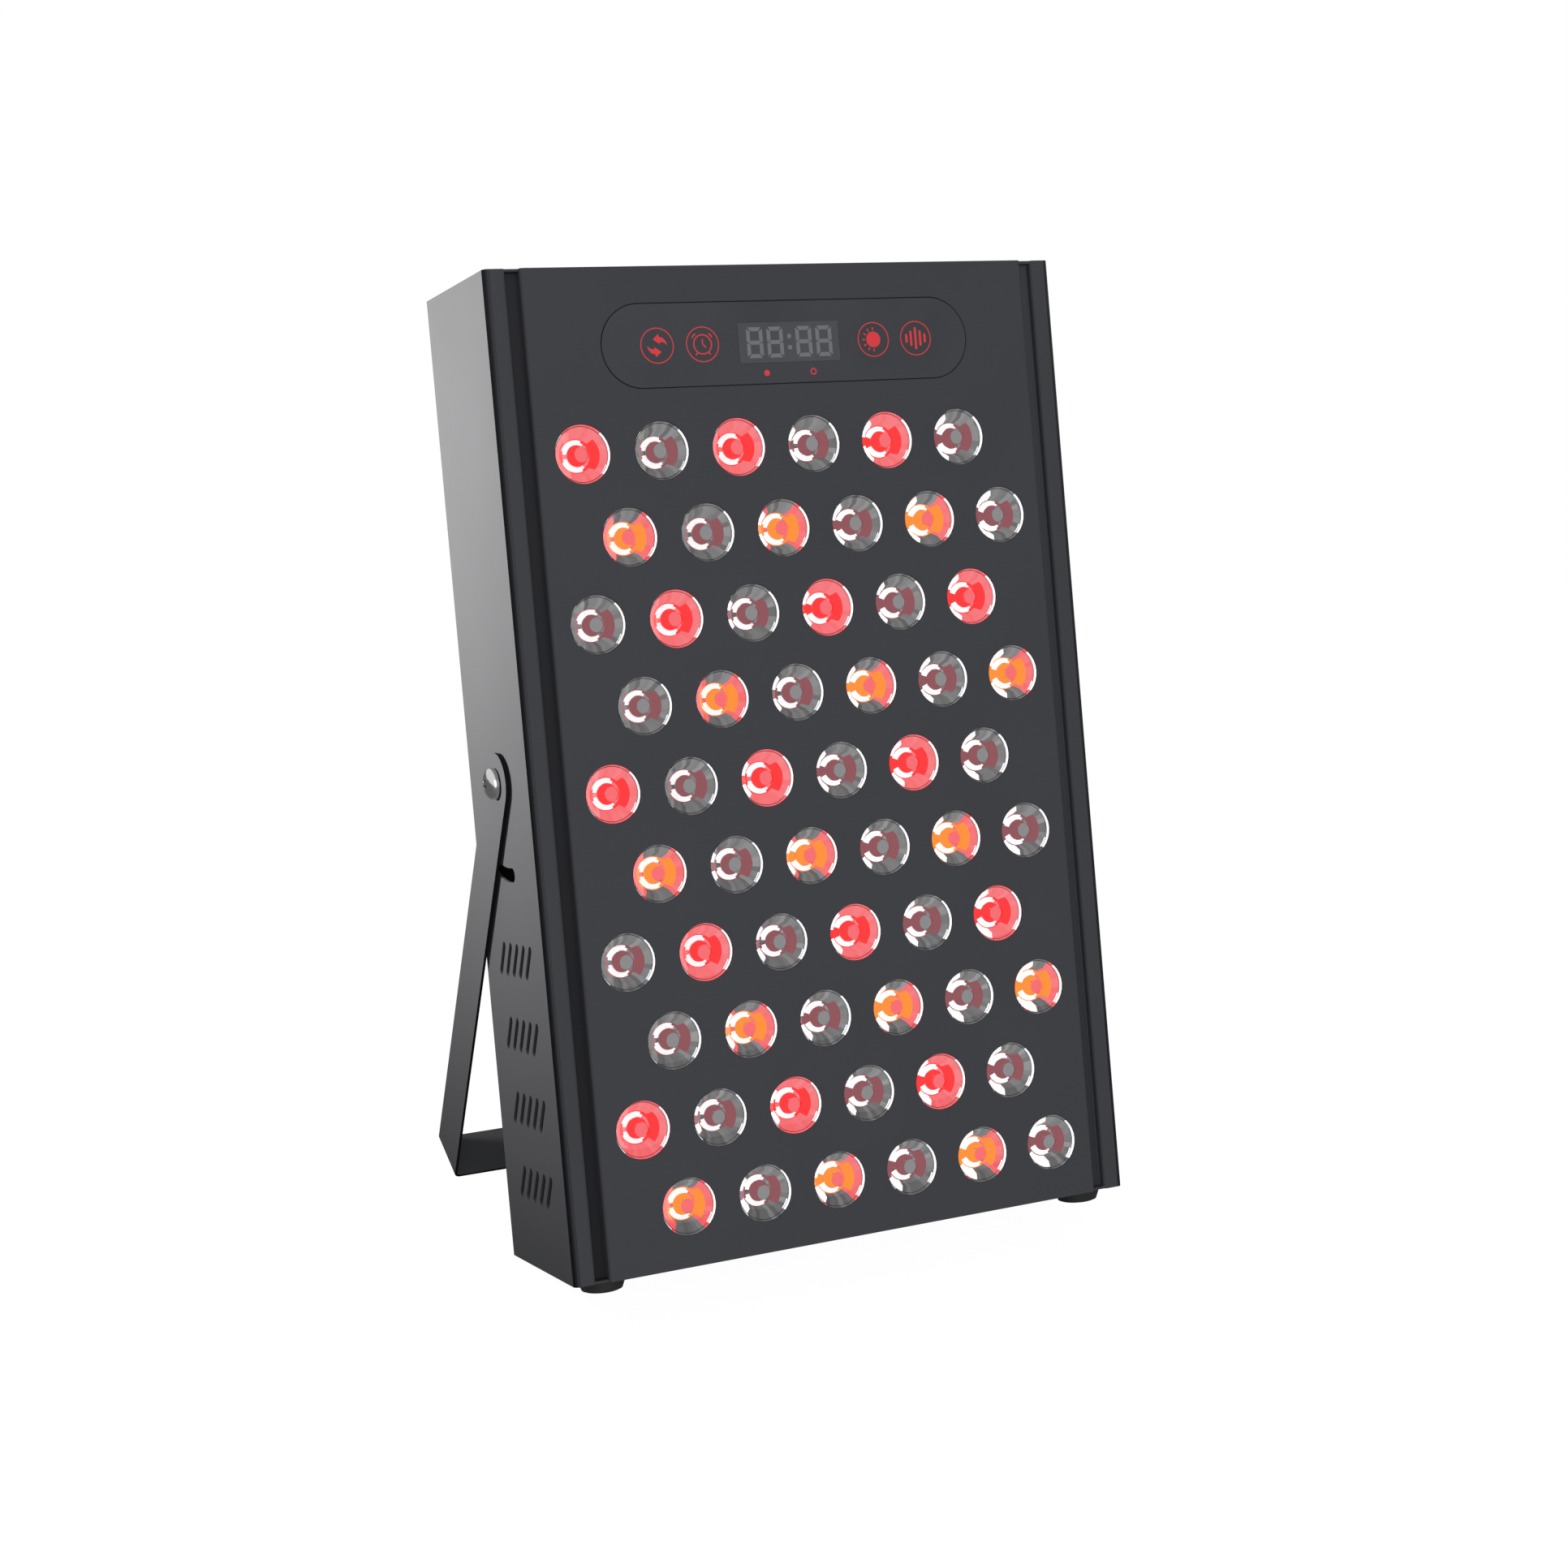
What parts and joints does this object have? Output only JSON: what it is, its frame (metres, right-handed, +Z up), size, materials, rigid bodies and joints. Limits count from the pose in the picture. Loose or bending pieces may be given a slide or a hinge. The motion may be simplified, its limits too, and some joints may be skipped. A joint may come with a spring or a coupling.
{
  "type": "red light therapy panel",
  "caption": "Table-top red light therapy panel: lensed LEDs in a slim folded steel housing with a flush touch display, leaning back on a friction-held U-shaped stand.",
  "frame": {"origin": "centre of the footprint of the whole object's box, on the floor, with the panel leaning back on its rear feet and the stand's crossbar", "axes": "+X to the right seen from the front, +Y to the back, +Z up"},
  "size_m": [0.2226, 0.17, 0.3372],
  "materials": {
    "housing": "fine dark grey powder coat",
    "front_plate": "fine dark grey powder coat",
    "stand": "satin dark grey powder coat",
    "overlay": "matt printed film",
    "window": "smoked window",
    "led_lens": "clear moulded lenses on a white board",
    "black_plastic": "moulded, satin",
    "driver_case": "moulded, matt",
    "circuit_board": "solder mask",
    "heat_sink": "extruded",
    "bright_steel": "zinc plated",
    "rubber": "matt black"
  },
  "bodies": {
    "panel": {"housing": "housing", "front_plate": "front_plate", "control_overlay": "overlay", "display_window": "window", "display_module": "black_plastic", "control_board": "circuit_board", "led_board_upper": "led_lens", "led_board_lower": "led_lens", "heat_sink": "heat_sink", "driver_left": "driver_case", "driver_right": "driver_case", "fan_frame_lower": "black_plastic", "fan_frame_upper": "black_plastic", "rear_cover": "housing", "power_inlet": "black_plastic", "switch_body": "black_plastic", "foot_front_left": "rubber", "foot_front_right": "rubber", "foot_rear_left": "rubber", "foot_rear_right": "rubber", "foot_screw_front_left": "bright_steel", "foot_screw_front_right": "bright_steel", "foot_screw_rear_left": "bright_steel", "foot_screw_rear_right": "bright_steel", "cover_screw_1": "bright_steel", "cover_screw_2": "bright_steel", "cover_screw_3": "bright_steel", "cover_screw_4": "bright_steel", "cover_screw_5": "bright_steel", "cover_screw_6": "bright_steel", "fan_screw_lower_1": "bright_steel", "fan_screw_lower_2": "bright_steel", "fan_screw_lower_3": "bright_steel", "fan_screw_lower_4": "bright_steel", "fan_screw_upper_1": "bright_steel", "fan_screw_upper_2": "bright_steel", "fan_screw_upper_3": "bright_steel", "fan_screw_upper_4": "bright_steel", "pivot_screw_left": "bright_steel", "pivot_screw_right": "bright_steel", "pivot_washer_left": "black_plastic", "pivot_washer_right": "black_plastic", "pivot_nut_left": "bright_steel", "pivot_nut_right": "bright_steel"},
    "stand": {"stand_bracket": "stand", "guide_pin_left": "bright_steel", "guide_pin_right": "bright_steel"},
    "lower_rotor": {"fan_rotor_lower": "black_plastic"},
    "upper_rotor": {"fan_rotor_upper": "black_plastic"},
    "rocker": {"switch_rocker": "black_plastic"}
  },
  "joints": [
    {"name": "stand_hinge", "type": "hinge", "parent": "panel", "child": "stand", "pos_m": [0, -0.00194, 0.1698], "axis": [1, 0, 0], "range_deg": [-40.65, 9.35]},
    {"name": "lower_fan_spin", "type": "hinge", "parent": "panel", "child": "lower_rotor", "pos_m": [0, 0.00633, 0.11826], "axis": [0, 0.9451, -0.3267], "continuous": true},
    {"name": "upper_fan_spin", "type": "hinge", "parent": "panel", "child": "upper_rotor", "pos_m": [0, 0.03639, 0.20522], "axis": [0, 0.9451, -0.3267], "continuous": true},
    {"name": "rocker_tilt", "type": "hinge", "parent": "panel", "child": "rocker", "pos_m": [0.025, -0.01191, 0.03077], "axis": [1, 0, 0], "range_deg": [-16, 0]}
  ]
}
